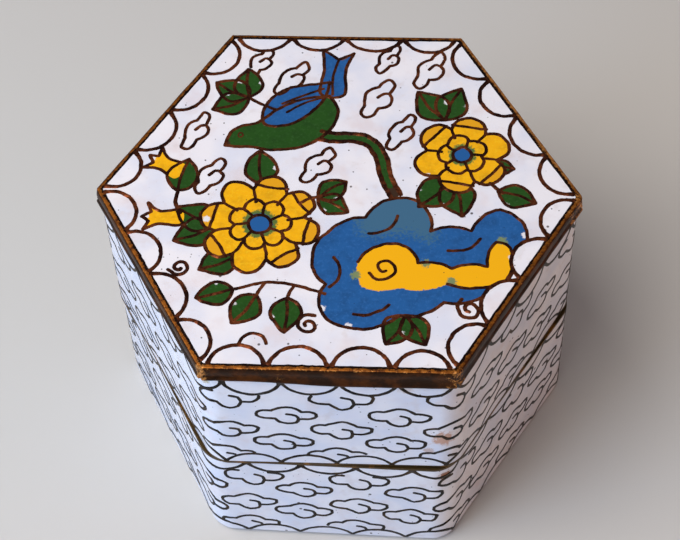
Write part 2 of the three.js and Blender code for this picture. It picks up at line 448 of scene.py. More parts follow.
def signed_distance(points, outline):
    """How far each point is inside a closed outline, or outside it where negative."""
    points = np.array([tuple(p) for p in points], float)
    start = np.array([tuple(p) for p in outline], float)
    end = np.roll(start, -1, axis=0)
    step = end - start
    to_point = points[:, None, :] - start[None, :, :]
    share = np.clip((to_point * step).sum(2) / np.maximum((step * step).sum(1), 1e-12), 0, 1)
    nearest = np.sqrt(((to_point - share[..., None] * step) ** 2).sum(2)).min(1)
    above_start = start[None, :, 1] > points[:, None, 1]
    above_end = end[None, :, 1] > points[:, None, 1]
    slope = np.where(step[:, 1] == 0, 1e-12, step[:, 1])
    crossing = start[:, 0] + (points[:, None, 1] - start[:, 1]) * step[:, 0] / slope
    hits = ((above_start != above_end) & (points[:, None, 0] < crossing)).sum(1)
    return np.where(hits % 2 == 1, nearest, -nearest)


def cut_away(points, outlines):
    """The runs of a line that lie outside all the outlines."""
    hidden = np.zeros(len(points), bool)
    for outline in outlines:
        hidden |= signed_distance(points, outline) > 0
    runs = [[]]
    for point, out_of_sight in zip(points, hidden):
        if out_of_sight:
            runs.append([])
        else:
            runs[-1].append(point)
    return [run for run in runs if len(run) > 2]


class Drawing:
    """Wires and coloured areas, flat, in millimetres."""

    def __init__(self, width, step=STEP):
        self.width = width
        self.step = step
        self.wires = []
        self.areas = []

    def wire(self, points, closed=False, width=1.0, under=(), joint=0.0):
        """A wire along given points, cut away under the given outlines. Its joint is how much wider solder
        makes its two ends."""
        drawn = line(points, closed, self.step)
        if under:
            if closed:
                drawn.append(drawn[0])
            runs = cut_away(drawn, under)
            self.wires += [(run, False, width * self.width, joint) for run in runs]
        else:
            self.wires.append((drawn, closed, width * self.width, joint))

    def area(self, enamel, points, tints=None, width=1.0, under=()):
        """An area of enamel with tints, as {attribute: [(outline, softness), ...]}. A wire runs
        round it unless its width is nought."""
        outline = line(points, True)
        self.areas.append((enamel, outline, tints or {}))
        if width:
            self.wire(points, closed=True, width=width, under=under)
        return outline


# ---------------------------------------------------------------- drawings into meshes

def without_sharp_turns(points, closed):
    """Runs of a line, parted where it turns sharply, each run on by a little at such an end."""
    count = len(points)
    sharp = []
    for i in range(count):
        if not closed and i in (0, count - 1):
            continue
        into = points[i] - points[i - 1]
        out = points[(i + 1) % count] - points[i]
        if into.length > 0 and out.length > 0 and into.angle(out) > math.radians(48):
            sharp.append(i)
    if not sharp:
        return [(points, closed)]
    if closed:
        points = points[sharp[0]:] + points[:sharp[0] + 1]
        sharp = [i - sharp[0] for i in sharp] + [count]
    else:
        sharp = [0] + sharp + [count - 1]
    return [(points[a:b + 1], False) for a, b in zip(sharp, sharp[1:]) if b > a]


def ribbon(points, closed, width, height, seed, joint):
    """A wire's rows of four corners, (x, y, height): two rounded shoulders on top and two edges sunk
    in the enamel. Its free ends are rounded."""
    ends = [1.0] * len(points)
    if not closed:
        first = (points[0] - points[1]).normalized() * width
        last = (points[-1] - points[-2]).normalized() * width
        points = [points[0] + first * 0.35, points[0] + first * 0.2, *points,
                  points[-1] + last * 0.2, points[-1] + last * 0.35]
        ends = [0.45, 0.85, *ends, 0.85, 0.45]
    count = len(points)
    rows = []
    for i, point in enumerate(points):
        before = points[i - 1] if closed or i > 0 else point
        after = points[(i + 1) % count] if closed or i < count - 1 else point
        run = (after - before).normalized()
        across = Vector((-run.y, run.x))
        from_end = min((point - points[0]).length, (point - points[-1]).length)
        solder = 1 + joint * math.exp(-(from_end / 0.7) ** 2)
        kink = 0.12 * width * noise.noise(Vector((point.x, point.y, seed)) * 1.1)
        row = []
        for side in (-0.5, -0.4, 0.4, 0.5):
            spot = Vector((point.x, point.y, seed + 40 * side))
            ragged = 1 + 0.24 * noise.noise(spot * 1.3) + 0.2 * noise.noise(spot * 3.5)
            edge = point + across * (side * width * ragged * solder * ends[i] + kink)
            rise = height + 0.004 * noise.noise(spot * 3) if abs(side) < 0.5 else -SUNK
            row.append((edge.x, edge.y, rise))
        rows.append(row)
    return rows


def wires_mesh(name, wires, lay, height):
    """All the wires of a drawing as one mesh of closed strips, laid on the box by lay(x, y, height)."""
    verts = []
    faces = []
    for number, (points, closed, width, joint) in enumerate(wires):
        for run, run_closed in without_sharp_turns(points, closed):
            if len(run) < 2:
                continue
            lift = height * (1 + 0.2 * noise.noise(Vector((number * 0.7, 3.1, 0))))
            rows = ribbon(run, run_closed, width, lift, number * 1.3, joint)
            start = len(verts)
            around = len(rows[0])
            verts += [lay(*corner) for row in rows for corner in row]
            last = len(rows) if run_closed else len(rows) - 1
            for i in range(last):
                this = start + i * around
                following = start + (i + 1) % len(rows) * around
                for k in range(around):
                    beside = (k + 1) % around
                    faces.append((this + k, following + k, following + beside, this + beside))
            if not run_closed:
                end = start + last * around
                faces.append(tuple(start + k for k in range(around)))
                faces.append(tuple(end + k for k in reversed(range(around))))
    mesh = bpy.data.meshes.new(name)
    mesh.from_pydata(verts, [], faces)
    return mesh


def grains(outline):
    """Points inside an outline, on an uneven grid."""
    xs = [p.x for p in outline]
    ys = [p.y for p in outline]
    rng = random.Random(len(outline))
    points = []
    row = 0
    y = min(ys)
    while y < max(ys):
        x = min(xs) + (row % 2) * GRAIN / 2
        while x < max(xs):
            points.append((x + rng.uniform(-0.06, 0.06), y + rng.uniform(-0.06, 0.06)))
            x += GRAIN
        y += GRAIN * 0.87
        row += 1
    inside = signed_distance(points, outline) > GRAIN * 0.5
    return [Vector(p) for p, keep in zip(points, inside) if keep]


def areas_mesh(name, areas, lay, height, tint_names):
    """Areas of one enamel as one mesh, with a value for each tint at each point."""
    verts = []
    faces = []
    values = {tint: [] for tint in tint_names}
    for number, (outline, tints) in enumerate(areas):
        flat = outline + grains(outline)
        edges = [(i, (i + 1) % len(outline)) for i in range(len(outline))]
        points, _, triangles, *_ = delaunay_2d_cdt(flat, edges, [], 1, 1e-4)
        start = len(verts)
        lift = height * (1 + 0.02 * number)
        verts += [lay(p.x, p.y, lift) for p in points]
        faces += [tuple(start + i for i in triangle) for triangle in triangles]
        for tint in tint_names:
            share = np.zeros(len(points))
            for shape, softness, *band in tints.get(tint, []):
                depth = signed_distance(points, shape)
                if band:
                    depth = np.minimum(depth, band[0] - signed_distance(points, outline))
                share = np.maximum(share, np.clip(0.5 + depth / (2 * softness), 0, 1))
            values[tint] += list(share)
    mesh = bpy.data.meshes.new(name)
    mesh.from_pydata(verts, [], faces)
    for tint in tint_names:
        attribute = mesh.attributes.new(tint, "FLOAT", "POINT")
        attribute.data.foreach_set("value", values[tint])
    return mesh


# ---------------------------------------------------------------- places on the box

def on_lid(turn):
    """Lays a drawing on the lid's top: x to the right, y to the back."""
    cosine = math.cos(turn)
    sine = math.sin(turn)

    def lay(x, y, height):
        return Vector((x * cosine - y * sine, x * sine + y * cosine, TOP + height)) * MM
    return lay


def round_wall(corner, foot, turn):
    """Lays a drawing round the wall: x along it from the middle of the front, y upwards from the
    underside. Below the foot's radius it follows the rounded bottom edge."""
    flat = 2 * (WALL_APOTHEM - corner) * HALF_SIDE
    arc = corner * 2 * math.pi / SIDES

    def lay(x, y, height):
        side, rest = divmod(x + flat / 2, flat + arc)
        facing = turn - math.pi / 2 + side * 2 * math.pi / SIDES
        sink = 0.0
        level = y
        tilt = 0.0
        if foot > 0 and y < foot:
            tilt = min((foot - y) / foot, math.pi / 2)
            sink = foot * (1 - math.cos(tilt))
            level = foot - foot * math.sin(tilt)
        out = height * math.cos(tilt) - sink
        level -= height * math.sin(tilt)
        if rest < flat:
            normal = Vector((math.cos(facing), math.sin(facing)))
            tangent = Vector((-math.sin(facing), math.cos(facing)))
            spot = normal * (WALL_APOTHEM + out) + tangent * (rest - flat / 2)
        else:
            towards = facing + math.pi / SIDES
            angle = facing + (rest - flat) / corner
            centre = Vector((math.cos(towards), math.sin(towards))) * (WALL_APOTHEM - corner) * TO_CORNER
            spot = centre + Vector((math.cos(angle), math.sin(angle))) * (corner + out)
        return Vector((spot.x, spot.y, level)) * MM
    return lay


def wall_length(corner):
    """Once round the wall."""
    return SIDES * (2 * (WALL_APOTHEM - corner) * HALF_SIDE + corner * 2 * math.pi / SIDES)


# ---------------------------------------------------------------- objects

def deselect_all():
    if bpy.context.mode != "OBJECT":
        bpy.ops.object.mode_set(mode="OBJECT")
    bpy.ops.object.select_all(action="DESELECT")


def activate(piece):
    deselect_all()
    piece.select_set(True)
    bpy.context.view_layer.objects.active = piece


def placed(mesh):
    """An object for a mesh, linked to the scene and active."""
    piece = bpy.data.objects.new(mesh.name, mesh)
    bpy.context.collection.objects.link(piece)
    activate(piece)
    return piece


def apply_modifier(piece, kind, **settings):
    activate(piece)
    bpy.ops.object.modifier_add(type=kind)
    modifier = piece.modifiers[-1]
    for name, value in settings.items():
        setattr(modifier, name, value)
    bpy.ops.object.modifier_apply(modifier=modifier.name)


def finished(piece, material, replaced=(), smooth_degrees=40):
    """Gives a piece its shading, its material and its place in the frame."""
    activate(piece)
    bpy.ops.object.transform_apply(location=True, rotation=True, scale=True)
    bpy.ops.object.shade_smooth_by_angle(angle=math.radians(smooth_degrees))
    if not piece.data.materials:
        piece.data.materials.append(material)
    else:
        piece.data.materials[0] = material
    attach(piece, "root")
    for node in replaced:
        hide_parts(node)
    return piece


def select_edges(piece, wanted):
    """In edit mode, selects only the edges that wanted(edge) accepts."""
    bpy.ops.mesh.select_mode(type="EDGE")
    bpy.ops.mesh.select_all(action="DESELECT")
    bm = bmesh.from_edit_mesh(piece.data)
    for edge in bm.edges:
        edge.select_set(wanted(edge))
    bmesh.update_edit_mesh(piece.data)


def select_faces(piece, wanted):
    """In edit mode, selects only the faces that wanted(face) accepts."""
    bpy.ops.mesh.select_mode(type="FACE")
    bpy.ops.mesh.select_all(action="DESELECT")
    bm = bmesh.from_edit_mesh(piece.data)
    for face in bm.faces:
        face.select_set(wanted(face))
    bmesh.update_edit_mesh(piece.data)


def middle(element):
    return sum((v.co for v in element.verts), Vector()) / len(element.verts)


def prism(name, apothem, corner, bottom, top, segments=14):
    """A six-sided block with rounded upright edges, one corner on +X, left in edit mode."""
    deselect_all()
    bpy.ops.mesh.primitive_cylinder_add(
        vertices=SIDES, radius=apothem * TO_CORNER * MM, depth=(top - bottom) * MM,
        location=(0, 0, (top + bottom) / 2 * MM), rotation=(0, 0, math.radians(30)))
    piece = bpy.context.object
    piece.name = name
    piece.data.name = name
    bpy.ops.object.transform_apply(location=True, rotation=True, scale=True)
    bpy.ops.object.mode_set(mode="EDIT")
    select_edges(piece, lambda e: abs(e.verts[0].co.z - e.verts[1].co.z) > HAIR * MM)
    bpy.ops.mesh.bevel(offset=corner * HALF_SIDE * MM, segments=segments, profile=0.5)
    return piece


def flat_at(level):
    """Accepts what lies flat at a level."""
    return lambda element: all(abs(v.co.z - level * MM) < 0.005 * MM for v in element.verts)


def turn_about_z(piece, angle):
    activate(piece)
    piece.data.transform(Matrix.Rotation(angle, 4, "Z"))


# ---------------------------------------------------------------- the two enamelled halves

def line_with_turquoise(piece, inside, turquoise):
    """Gives the faces inside, and those that look down at the bottom, the counter-enamel."""
    piece.data.materials.append(None)
    piece.data.materials.append(turquoise)
    for polygon in piece.data.polygons:
        if inside(polygon):
            polygon.material_index = 1


def make_cup(sizes, turquoise):
    """The lower half: a cup with a rounded bottom edge, hollow and open."""
    wall = sizes.wall / MM
    top = LEDGE_BOTTOM - HAIR
    cup = prism("cup_enamel", WALL_APOTHEM, sizes.wall_corner / MM, 0, top)
    select_faces(cup, flat_at(top))
    bpy.ops.mesh.inset(thickness=sizes.wall, use_even_offset=True)
    bpy.ops.mesh.extrude_region_move(
        TRANSFORM_OT_translate={"value": (0, 0, (wall - top) * MM)})
    select_edges(cup, lambda e: flat_at(0)(e))
    bpy.ops.mesh.bevel(offset=sizes.foot, segments=8, profile=0.5)
    select_edges(cup, lambda e: flat_at(wall)(e))
    bpy.ops.mesh.bevel(offset=sizes.inside_round, segments=6, profile=0.5)
    bpy.ops.object.mode_set(mode="OBJECT")
    inner = (WALL_APOTHEM - wall + 0.01) * MM

    def is_lining(polygon):
        centre = polygon.center
        inside = reach_of(centre) < inner and centre.z > 0.9 * wall * MM
        return polygon.normal.z < -0.95 or (inside and centre.z < (top - 0.01) * MM)
    line_with_turquoise(cup, is_lining, turquoise)
    return cup


def make_lid(sizes, turquoise):
    """The upper half: walls, a stepped shoulder under the rim, and the flat top, hollow below."""
    wall = sizes.wall / MM
    bottom = LID_RING_TOP + HAIR
    inner_corner = 0.3
    lid = prism("lid_enamel", WALL_APOTHEM, sizes.wall_corner / MM, bottom, RIM_BOTTOM - HAIR)
    shoulder = (sizes.band_thickness + 0.3 * MM) / MM
    plate = prism("lid_plate", WALL_APOTHEM - shoulder, inner_corner, RIM_BOTTOM - 1,
                  TOP - sizes.strip_thickness / MM - HAIR, 4)
    bpy.ops.object.mode_set(mode="OBJECT")
    face = prism("lid_face", WALL_APOTHEM - sizes.strip_width / MM - HAIR, inner_corner,
                 RIM_BOTTOM, TOP, 4)
    bpy.ops.object.mode_set(mode="OBJECT")
    hollow = prism("lid_hollow", WALL_APOTHEM - wall, sizes.wall_corner / MM - wall, bottom - 1,
                   TOP - wall)
    select_edges(hollow, flat_at(TOP - wall))
    bpy.ops.mesh.bevel(offset=sizes.inside_round, segments=6, profile=0.5)
    bpy.ops.object.mode_set(mode="OBJECT")
    for other, operation in ((plate, "UNION"), (face, "UNION"), (hollow, "DIFFERENCE")):
        apply_modifier(lid, "BOOLEAN", operation=operation, object=other, solver="EXACT")
        bpy.data.objects.remove(other)
    inner = (WALL_APOTHEM - wall + 0.01) * MM

    def is_lining(polygon):
        centre = polygon.center
        return reach_of(centre) < inner and centre.z < (TOP - wall + 0.01) * MM
    line_with_turquoise(lid, is_lining, turquoise)
    turn_about_z(lid, sizes.lid_turn)
    return lid


class BOX_OT_shells(bpy.types.Operator):
    """Models the enamelled cup and lid"""

    bl_idname = "enamel_box.shells"
    bl_label = "Cup and lid"

    def execute(self, context):
        sizes = context.scene.enamel_box_sizes
        colours = context.scene.enamel_box_colours
        white = white_enamel(colours)
        turquoise = turquoise_enamel(colours)
        finished(make_cup(sizes, turquoise), white, ["base_body"])
        finished(make_lid(sizes, turquoise), white, ["lid_body"])
        return {"FINISHED"}


# ---------------------------------------------------------------- rim and rings

def reach_of(spot):
    """How far out a point lies, measured square to the side that it is nearest to."""
    return max(abs(spot.x * math.cos(a) + spot.y * math.sin(a))
               for a in (math.radians(30), math.radians(90), math.radians(150)))

RIM_SPOTS = (
    # x, y, radius, and how much metal shows: right corner, front right corner, front left corner
    (34, 0, 2.4, 0.62), (32.6, -2.6, 1.4, 0.5), (17, -29.5, 1.9, 0.5), (-17, -29.5, 1.2, 0.7),
    (-6.5, -29.6, 1, 0.25), (29, 8.5, 1.6, 0.5),
)


def rubbed_at(spot, reach):
    """How bright the rim's metal is made: worn along the crest and in spots, with painted highlight added
    along the crest of the back right side and, fainter, the front side.
    """
    facing = math.degrees(math.atan2(spot.y, spot.x))
    # painted highlight: the crest is made brighter on the back right side and on the front side
    side = 0.28 + 0.5 * ramp_up(facing, 0, 6) * (1 - ramp_up(facing, 58, 66))
    side += 0.12 * ramp_up(facing, -118, -112) * (1 - ramp_up(facing, -66, -58))
    crest = ramp_up(spot.z, TOP - 0.3, TOP - 0.08) * ramp_up(reach, WALL_APOTHEM - 0.5, WALL_APOTHEM - 0.2)
    rubbed = side * crest
    for x, y, radius, share in RIM_SPOTS:
        away = math.hypot(spot.x - x, spot.y - y) / radius
        rubbed = max(rubbed, share * math.exp(-away * away))
    return rubbed


def roughen_rim(rim, strip_apothem, lip_top):
    """Hand-made unevenness: a ragged inner edge, a wavy crest, and a lip that sags along the front."""
    inner = rim.data.attributes.new("inner", "FLOAT", "POINT")
    rubbed = rim.data.attributes.new("rubbed", "FLOAT", "POINT")
    for index, vertex in enumerate(rim.data.vertices):
        spot = vertex.co / MM
        reach = reach_of(spot)
        facing = math.degrees(math.atan2(spot.y, spot.x))
        outward = Vector((spot.x, spot.y, 0)).normalized()
        at_edge = spot.z > TOP - 0.01 and reach < strip_apothem + 0.01
        inner.data[index].value = (1.25 if 0 < facing < 60 else 1) if at_edge else 0
        # wear on the crest and in spots, with painted highlight on the back right and front crest
        rubbed.data[index].value = rubbed_at(spot, reach)
        if at_edge:
            ragged = 0.1 * noise.noise(spot * 0.9) + 0.12 * noise.noise(spot * 2.6)
            spot += outward * ragged
        if reach > WALL_APOTHEM - 0.05:
            spot += outward * 0.06 * noise.noise(spot * 0.35)
            spot.z += 0.05 * noise.noise(spot * 0.3 + Vector((9, 0, 0)))
            if spot.z < lip_top + 0.15:
                sag = ramp_up(facing, -112, -86) * (1 - ramp_up(facing, -66, -48))
                spot += outward * 0.12 * sag
                spot.z -= 0.62 * sag
        vertex.co = spot * MM


def ramp_up(value, low, high):
    """Smoothly from nought to one."""
    share = min(1, max(0, (value - low) / (high - low)))
    return share * share * (3 - 2 * share)


def make_rim(sizes):
    """The brass angle round the top: strip, crest, swelling band and lip."""
    strip = sizes.strip_width
    corner = sizes.rim_corner / MM
    rim = prism("rim", WALL_APOTHEM, corner, RIM_BOTTOM, TOP, 8)
    select_faces(rim, flat_at(TOP))
    bpy.ops.mesh.inset(thickness=strip, use_even_offset=True)
    bpy.ops.mesh.extrude_region_move(
        TRANSFORM_OT_translate={"value": (0, 0, -sizes.strip_thickness)})
    bpy.ops.mesh.delete(type="FACE")
    select_faces(rim, flat_at(RIM_BOTTOM))
    bpy.ops.mesh.inset(thickness=sizes.band_thickness, use_even_offset=True)
    bpy.ops.mesh.extrude_region_move(TRANSFORM_OT_translate={
        "value": (0, 0, (TOP - RIM_BOTTOM) * MM - sizes.strip_thickness)})
    bpy.ops.mesh.delete(type="FACE")
    under = TOP - sizes.strip_thickness / MM
    select_edges(rim, flat_at(under))
    bpy.ops.mesh.bridge_edge_loops()
    outside = (WALL_APOTHEM - 0.05) * MM

    def is_outer(element):
        return reach_of(middle(element)) > outside
    lip_top = RIM_BOTTOM + sizes.lip_height / MM
    band_middle = (lip_top + TOP) / 2
    for level in (RIM_BOTTOM + 0.12, (RIM_BOTTOM + lip_top) / 2, lip_top - 0.05, lip_top + 0.2,
                  band_middle, TOP - 0.6):
        bpy.ops.mesh.select_all(action="SELECT")
        bpy.ops.mesh.bisect(plane_co=(0, 0, level * MM), plane_no=(0, 0, 1))
    swell = {
        RIM_BOTTOM: 0.1,
        RIM_BOTTOM + 0.12: sizes.lip * 0.75 / MM,
        (RIM_BOTTOM + lip_top) / 2: sizes.lip / MM,
        lip_top - 0.05: sizes.lip * 0.7 / MM,
        lip_top + 0.2: 0.03,
        band_middle: 0.13,
        TOP - 0.6: 0.1,
    }
    for level, out in swell.items():
        select_edges(rim, lambda e: flat_at(level)(e) and is_outer(e))
        scale = 1 + out / WALL_APOTHEM
        bpy.ops.transform.resize(value=(scale, scale, 1), center_override=(0, 0, 0))
    select_edges(rim, lambda e: flat_at(TOP)(e) and is_outer(e))
    bpy.ops.mesh.bevel(offset=sizes.crest, segments=4, profile=0.5)
    select_edges(rim, lambda e: (e.verts[0].co - e.verts[1].co).length > 10 * MM)
    bpy.ops.mesh.subdivide(number_cuts=70)
    bpy.ops.mesh.select_all(action="SELECT")
    bpy.ops.mesh.normals_make_consistent(inside=False)
    bpy.ops.object.mode_set(mode="OBJECT")
    roughen_rim(rim, WALL_APOTHEM - strip / MM, lip_top)
    turn_about_z(rim, sizes.lid_turn)
    return rim


def make_lid_ring(sizes):
    """The plain brass edge under the lid's wall."""
    bottom = SEAM + HAIR / 2
    ring = prism("lid_ring", WALL_APOTHEM + RING_PROUD, sizes.wall_corner / MM, bottom, LID_RING_TOP)
    for level, height in ((LID_RING_TOP, bottom), (bottom, bottom)):
        select_faces(ring, flat_at(level))
        bpy.ops.mesh.inset(thickness=sizes.wall + RING_PROUD * MM, use_even_offset=True)
        bpy.ops.mesh.extrude_region_move(TRANSFORM_OT_translate={"value": (0, 0, (height - level) * MM)})
        bpy.ops.mesh.delete(type="FACE")
    bpy.ops.mesh.select_all(action="SELECT")
    bpy.ops.mesh.remove_doubles(threshold=HAIR / 4 * MM)
    bpy.ops.mesh.normals_make_consistent(inside=False)
    bpy.ops.object.mode_set(mode="OBJECT")
    turn_about_z(ring, sizes.lid_turn)
    return ring


def make_cup_ring(sizes):
    """The brass ledge on the cup's mouth, with the upstand that keeps the lid in place."""
    top = SEAM - HAIR / 2
    outer = WALL_APOTHEM + RING_PROUD
    upstand = WALL_APOTHEM - (sizes.wall + sizes.play) / MM
    upstand_wall = sizes.upstand_wall / MM
    ring = prism("cup_ring", outer, sizes.wall_corner / MM, LEDGE_BOTTOM, top)
    select_faces(ring, flat_at(top))
    bpy.ops.mesh.inset(thickness=(outer - upstand) * MM, use_even_offset=True)
    bpy.ops.mesh.extrude_region_move(
        TRANSFORM_OT_translate={"value": (0, 0, (UPSTAND_TOP - top) * MM)})
    bpy.ops.mesh.inset(thickness=upstand_wall * MM, use_even_offset=True)
    bpy.ops.mesh.extrude_region_move(
        TRANSFORM_OT_translate={"value": (0, 0, (LEDGE_BOTTOM - UPSTAND_TOP) * MM)})
    bpy.ops.mesh.delete(type="FACE")
    select_faces(ring, flat_at(LEDGE_BOTTOM))
    bpy.ops.mesh.inset(thickness=(outer - upstand + upstand_wall) * MM, use_even_offset=True)
    bpy.ops.mesh.delete(type="FACE")
    select_edges(ring, lambda e: flat_at(UPSTAND_TOP)(e)
                 and reach_of(middle(e)) > (upstand - 0.1) * MM)
    bpy.ops.mesh.bevel(offset=0.3 * MM, segments=2, profile=0.5)
    bpy.ops.mesh.select_all(action="SELECT")
    bpy.ops.mesh.remove_doubles(threshold=HAIR / 4 * MM)
    bpy.ops.mesh.normals_make_consistent(inside=False)
    bpy.ops.object.mode_set(mode="OBJECT")
    return ring


class BOX_OT_brass(bpy.types.Operator):
    """Models the brass rim and the two mouth rings"""

    bl_idname = "enamel_box.brass"
    bl_label = "Rim and rings"

    def execute(self, context):
        sizes = context.scene.enamel_box_sizes
        colours = context.scene.enamel_box_colours
        finished(make_rim(sizes), rim_brass(colours), ["lid_top_rim"])
        brass = ring_brass()
        finished(make_lid_ring(sizes), brass, ["lid_mouth_ring"])
        finished(make_cup_ring(sizes), brass, ["base_mouth_ring"])
        return {"FINISHED"}


# ---------------------------------------------------------------- clouds and scallops

CLOUD_LOBES = (
    ((-1.7, -1.06), (-3.2, -1.05), (-4.2, -0.35), (-4.05, 0.6), (-3.2, 1.1), (-2.17, 1.13)),
    ((2.17, 1.14), (3.3, 1.12), (4.2, 0.7), (4.2, -0.1), (3.4, -0.85), (1.74, -0.93)),
)
CLOUD_DOME = ((-2.17, 1.13), (-1.3, 1.75), (0, 2.19), (1.3, 1.85), (2.17, 1.14))
CLOUD_BELLY = ((-1.7, -1.06), (-1, -1.8), (0.1, -2.22), (1.25, -1.85), (1.74, -0.93))
CLOUD_HOOK = ((1.74, -0.93), (1.35, -0.05), (0.12, 0.33))


def cloud(drawing, centre, angle=0.0, scale=(1.0, 1.0), parts="ldbh", under=(), rng=None):
    """A cloud of two lobes, a dome, a belly and a hook, each bent by hand a little differently."""
    rng = rng or random.Random(1)
    tilt = Matrix.Rotation(angle + math.radians(rng.uniform(-3, 3)), 2)
    size = Vector((scale[0] * rng.uniform(0.96, 1.04), scale[1] * rng.uniform(0.94, 1.05)))
    shift = Vector(centre)
    wobble = rng.uniform(0, 50)
    pieces = []
    if "l" in parts:
        pieces += CLOUD_LOBES
    if "d" in parts:
        pieces.append(CLOUD_DOME)
    if "b" in parts:
        pieces.append(CLOUD_BELLY)
    if "h" in parts:
        pieces.append(CLOUD_HOOK)
    for piece in pieces:
        points = []
        for x, y in piece:
            bend = Vector((noise.noise(Vector((x, y, wobble))), noise.noise(Vector((y, x, wobble + 9)))))
            points.append(shift + tilt @ (Vector((x * size.x, y * size.y)) + bend * 0.22))
        drawing.wire(points, under=under)


def scallop(start, end, sag, bend=0.0):
    """Points of a round arc from start to end, bulging to the left of that way by sag."""
    start = Vector(start)
    end = Vector(end)
    chord = end - start
    half = chord.length / 2
    radius = (half * half + sag * sag) / (2 * sag)
    reach = math.asin(min(1, half / radius))
    if sag > half:
        reach = math.pi - reach
    along_chord = chord.normalized()
    across = Vector((-along_chord.y, along_chord.x))
    centre = start + chord / 2 + across * (sag - radius)
    points = []
    for k in range(9):
        angle = reach * (k / 4 - 1)
        points.append(centre + along_chord * (radius * math.sin(angle) + bend * math.cos(angle))
                      + across * radius * math.cos(angle))
    return points


def wall_pattern(drawing, round_trip, first, top, bottom, hanging, standing, depths, rng):
    """Scallops along both edges of a wall and clouds between them, in columns of two kinds. A column
    stands over each joint between two scallops."""
    columns = 26
    pitch = round_trip / columns
    upper = []
    lower = []
    for k in range(-1, columns + 1):
        left = first + k * pitch + rng.uniform(-0.2, 0.2)
        right = first + (k + 1) * pitch + rng.uniform(-0.2, 0.2)
        upper.append(scallop((right, top), (left, top), hanging * rng.uniform(0.93, 1.07)))
        lower.append(scallop((left - 0.9, bottom), (right - 0.9, bottom),
                             standing * rng.uniform(0.93, 1.07)))
    for arc in upper[1:-1]:
        drawing.wire(arc, width=rng.uniform(0.95, 1.15), joint=0.9)
    for arc in lower[1:-1]:
        drawing.wire(arc, width=rng.uniform(0.9, 1.1), joint=0.3)
    covers = [line(arc) for arc in upper + lower]
    for k in range(columns):
        joint = first + k * pitch
        near = [cover for cover in covers if abs(cover[0].x - joint) < 2 * pitch]
        full = "ldbh"
        kinds = (("lbh", 1.2), (full, 1), ("ldh", 1)) if k % 2 == 0 else ((full, 1), (full, 1))
        for (parts, tall), depth in zip(kinds, depths[k % 2]):
            spot = (joint + 0.8 - 1.6 * depth + rng.uniform(-0.3, 0.3),
                    top - depth * (top - bottom) + rng.uniform(-0.15, 0.15))
            cloud(drawing, spot, math.radians(-2), (0.96, 0.96 * tall), parts, near, rng)


def make_wall_wires(name, sizes, turn, foot, **pattern):
    drawing = Drawing(sizes.wall_wire / MM, WALL_STEP)
    corner = sizes.wall_corner / MM
    wall_pattern(drawing, wall_length(corner), **pattern)
    return placed(wires_mesh(name, drawing.wires, round_wall(corner, foot, turn), sizes.proud / MM))


class BOX_OT_wall_wires(bpy.types.Operator):
    """Lays the clouds and scallops round both walls"""

    bl_idname = "enamel_box.wall_wires"
    bl_label = "Wall wires"

    def execute(self, context):
        sizes = context.scene.enamel_box_sizes
        colours = context.scene.enamel_box_colours
        # painted shade: darker brown and darker copper than the lid's wire
        wire = tarnished_wire("wall_wire_brass", colours.wall_wire, linear("#5A4020"), 0.42)
        rng = random.Random(11)
        lid = make_wall_wires(
            "lid_wall_wires", sizes, sizes.lid_turn, 0, first=1.3, top=RIM_BOTTOM - 0.1,
            bottom=LID_RING_TOP + 0.1, hanging=3.1, standing=2.1,
            depths=((0.195, 0.58, 0.905), (0.4, 0.735)), rng=rng)
        finished(lid, wire)
        cup = make_wall_wires(
            "cup_wall_wires", sizes, 0, sizes.foot / MM, first=3.96, top=LEDGE_BOTTOM - 0.1,
            bottom=1.1, hanging=2.1, standing=1.9,
            depths=((0.189, 0.557, 0.883), (0.347, 0.678)), rng=rng)
        finished(cup, wire)
        return {"FINISHED"}


# ---------------------------------------------------------------- the lid's picture

def lid_border(drawing, strip_apothem, rng):
    """Four scallops along each side of the top, standing on the rim's inner edge."""
    half = strip_apothem * HALF_SIDE
    arcs = []
    for side in range(SIDES):
        facing = side * math.pi / 3 - math.pi / 2
        normal = Vector((math.cos(facing), math.sin(facing)))
        along_side = Vector((-normal.y, normal.x))
        joints = [-half + 0.35] + [half * share + rng.uniform(-0.25, 0.25) for share in (-0.5, 0, 0.5)]
        joints.append(half - 0.35)
        for left, right in zip(joints, joints[1:]):
            start = normal * (strip_apothem - 0.05) + along_side * (left + 0.3)
            end = normal * (strip_apothem - 0.05) + along_side * (right - 0.3)
            sag = rng.uniform(2, 2.3) if side == BACK else rng.uniform(2.55, 2.95)
            arcs.append(scallop(start, end, sag))
    for arc in arcs:
        drawing.wire(arc, width=1.15, joint=0.35)
    return [line(arc) for arc in arcs]


def blob(x, y, radius):
    """A round outline, for a spot of colour."""
    return [Vector((x + radius * math.cos(a), y + radius * math.sin(a)))
            for a in (k * math.pi / 6 for k in range(12))]


HAND_BEND = 0.25     # how far a wire strays from its place when bent by hand
VALLEY = 0.74        # where two petals meet, for a flower's radius of one
BRANCH_HALF = 0.75   # half the width of the branch
LEAF_SWELL = 0.37    # half the width of a leaf one long


def put(points, centre, lean, size=1.0):
    """Points drawn about the origin, scaled, turned by lean degrees and moved to a centre, with the
    slight unevenness of wire bent by hand."""
    turn = Matrix.Rotation(math.radians(lean), 2)
    moved = []
    for x, y in points:
        spot = Vector(centre) + turn @ Vector((x * size, y * size))
        bend = Vector((noise.noise(Vector((spot.x, spot.y, 4)) * 0.6),
                       noise.noise(Vector((spot.y, spot.x, 8)) * 0.6)))
        moved.append(spot + HAND_BEND * bend)
    return moved


def on_ring(count, place, reach):
    """A point at a reach from the origin, so many places round a ring of count."""
    angle = 2 * math.pi * place / count
    return reach * math.cos(angle), reach * math.sin(angle)


